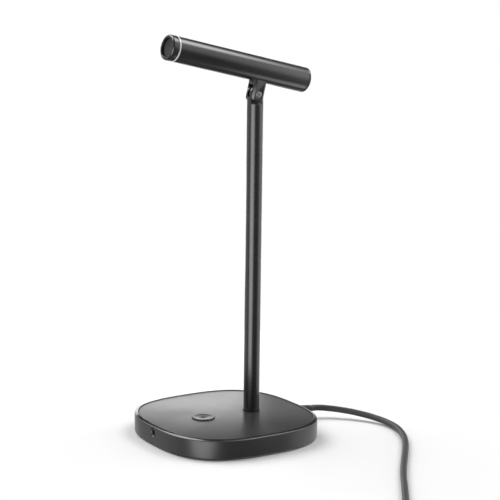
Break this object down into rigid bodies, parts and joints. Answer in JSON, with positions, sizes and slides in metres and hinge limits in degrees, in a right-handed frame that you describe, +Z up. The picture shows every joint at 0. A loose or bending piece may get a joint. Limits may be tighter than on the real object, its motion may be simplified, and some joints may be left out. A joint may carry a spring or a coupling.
{
  "type": "desktop microphone",
  "caption": "Slim tube microphone that tilts on a fork at the top of a round pole, on a weighted rounded-square base with a mute button, headphone socket and USB cable.",
  "frame": {"origin": "middle of the base's flat resting face, on the desk", "axes": "+Z up along the pole, nose of the microphone and headphone socket towards -Y, cable out of the back towards +Y"},
  "size_m": [0.3238, 0.1591, 0.2628],
  "materials": {
    "housing_paint": "satin fine-textured black coating",
    "anodised": "satin dark grey anodising",
    "polished_ring": "polished",
    "steel": "plain zinc plated",
    "brass": "machined",
    "rubber": "matt",
    "black_plastic": "fine matt",
    "white_plastic": "plain moulded",
    "cable_jacket": "soft matt jacket",
    "lead_jacket": "soft matt jacket",
    "circuit_board": "solder mask",
    "chip_epoxy": "moulded epoxy",
    "foam": "open-cell foam",
    "woven_mesh": "blackened woven wire"
  },
  "bodies": {
    "stand": {"base_housing": "housing_paint", "base_top_plate": "housing_paint", "base_bottom_cover": "housing_paint", "foot_pad": "rubber", "ballast_plate": "steel", "main_board": "circuit_board", "audio_chip": "chip_epoxy", "crystal": "steel", "capacitor_1": "steel", "capacitor_2": "steel", "mic_connector": "white_plastic", "usb_connector": "white_plastic", "headphone_jack": "black_plastic", "jack_ferrule": "black_plastic", "mute_switch": "chip_epoxy", "cover_screw_1": "steel", "cover_screw_2": "steel", "cover_screw_3": "steel", "cover_screw_4": "steel", "board_screw_1": "steel", "board_screw_2": "steel", "pole_collar": "black_plastic", "pole_nipple": "brass", "pole_nut": "steel", "pole_washer": "steel", "pole_tube": "anodised", "hinge_knuckle": "anodised", "hinge_screw_right": "steel", "hinge_screw_left": "steel", "friction_washer_right": "steel", "friction_washer_left": "steel", "mic_lead": "lead_jacket", "usb_cable_inner": "cable_jacket", "strain_relief": "rubber", "usb_cable": "cable_jacket", "cable_coil": "cable_jacket", "cable_tie": "rubber", "cable_tail": "cable_jacket", "usb_plug_grip": "black_plastic", "usb_plug_shell": "steel", "usb_plug_tongue": "white_plastic"},
    "head": {"hinge_fork": "anodised", "saddle_washer": "steel", "fork_nut": "steel", "mic_tube": "anodised", "accent_ring": "polished_ring", "nose_cap": "anodised", "grille_mesh": "woven_mesh", "wind_foam": "foam", "capsule_boot": "rubber", "microphone_capsule": "steel", "capsule_board": "circuit_board", "rear_cap": "anodised"},
    "button": {"mute_button": "anodised", "mute_switch_stem": "white_plastic"}
  },
  "joints": [
    {"name": "head_tilt", "type": "hinge", "parent": "stand", "child": "head", "pos_m": [0, 0.0201, 0.2232], "axis": [1, 0, 0], "range_deg": [-76, 103], "deforming": ["mic_lead"]},
    {"name": "mute_press", "type": "slide", "parent": "stand", "child": "button", "axis": [0, 0, -1], "range_m": [0, 0.0005], "stiffness_N_per_m": 600, "springref_m": -0.001}
  ]
}
